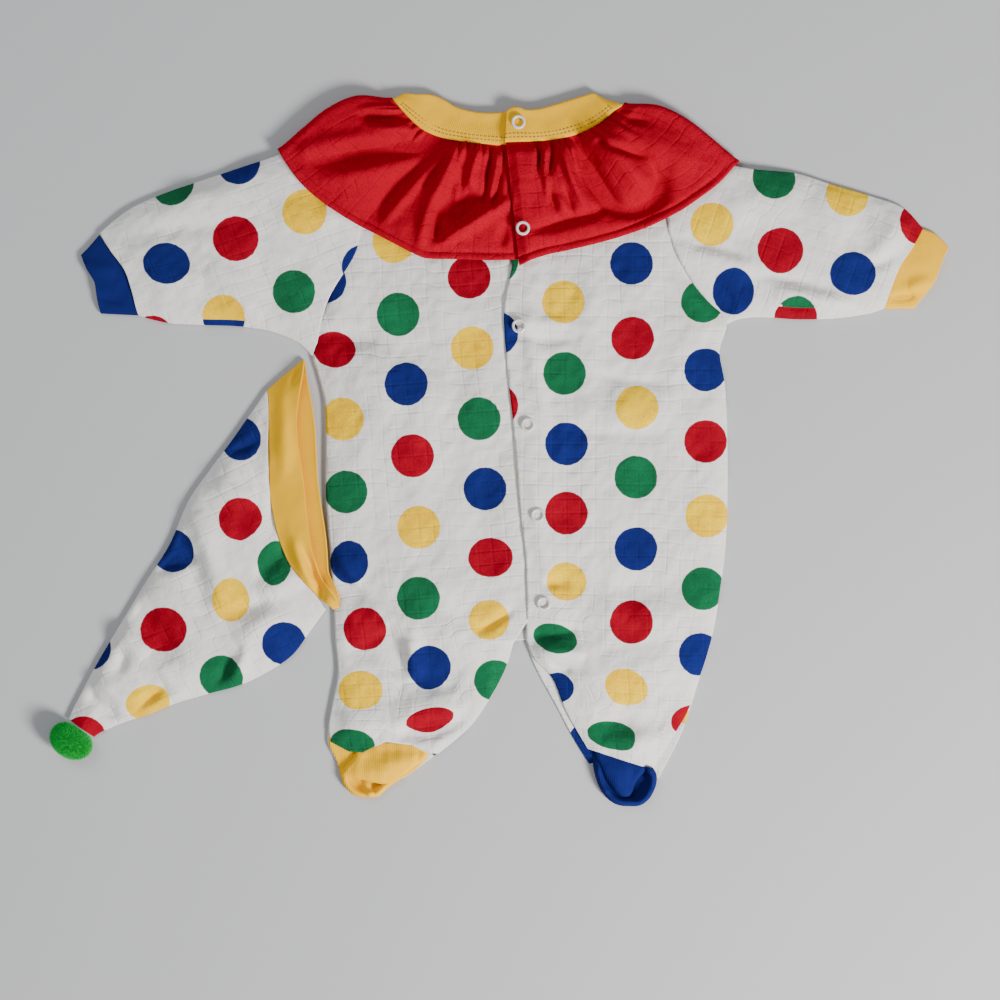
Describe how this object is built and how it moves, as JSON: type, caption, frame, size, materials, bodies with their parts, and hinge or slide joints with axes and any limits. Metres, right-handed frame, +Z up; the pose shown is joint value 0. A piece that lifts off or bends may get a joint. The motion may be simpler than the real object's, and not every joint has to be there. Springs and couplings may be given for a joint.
{
  "type": "clown costume",
  "caption": "Baby's clown costume laid flat: dotted footed romper with a gathered red collar and snap front, and a cone hat with a pompom.",
  "frame": {"origin": "under the middle of the set's box, on the surface it lies on", "axes": "+X across the garment from the wearer's right sleeve to the left, +Y from the feet to the neck, +Z up from the surface"},
  "size_m": [0.6272, 0.4967, 0.018],
  "materials": {
    "dotted_knit": "soft off-white double knit with printed dots in red, yellow, green and blue",
    "red_knit": "soft red double knit",
    "yellow_rib": "fine matt rib knit",
    "blue_rib": "fine matt rib knit",
    "green_yarn": "dense cut pile",
    "snap_resin": "pearl white enamel"
  },
  "bodies": {
    "root": {"back_panel": "dotted_knit", "front_right": "dotted_knit", "front_left": "dotted_knit", "sleeve_right": "dotted_knit", "sleeve_left": "dotted_knit", "cuff_right": "blue_rib", "cuff_left": "yellow_rib", "neckband": "yellow_rib", "collar": "red_knit", "vamp_right": "yellow_rib", "sole_right": "yellow_rib", "vamp_left": "blue_rib", "sole_left": "blue_rib", "snap_neck": "snap_resin", "snap_collar": "snap_resin", "snap_front_1": "snap_resin", "snap_front_2": "snap_resin", "snap_front_3": "snap_resin", "snap_front_4": "snap_resin", "hat_cone": "dotted_knit", "hat_band": "yellow_rib", "pompom": "green_yarn"}
  },
  "joints": []
}
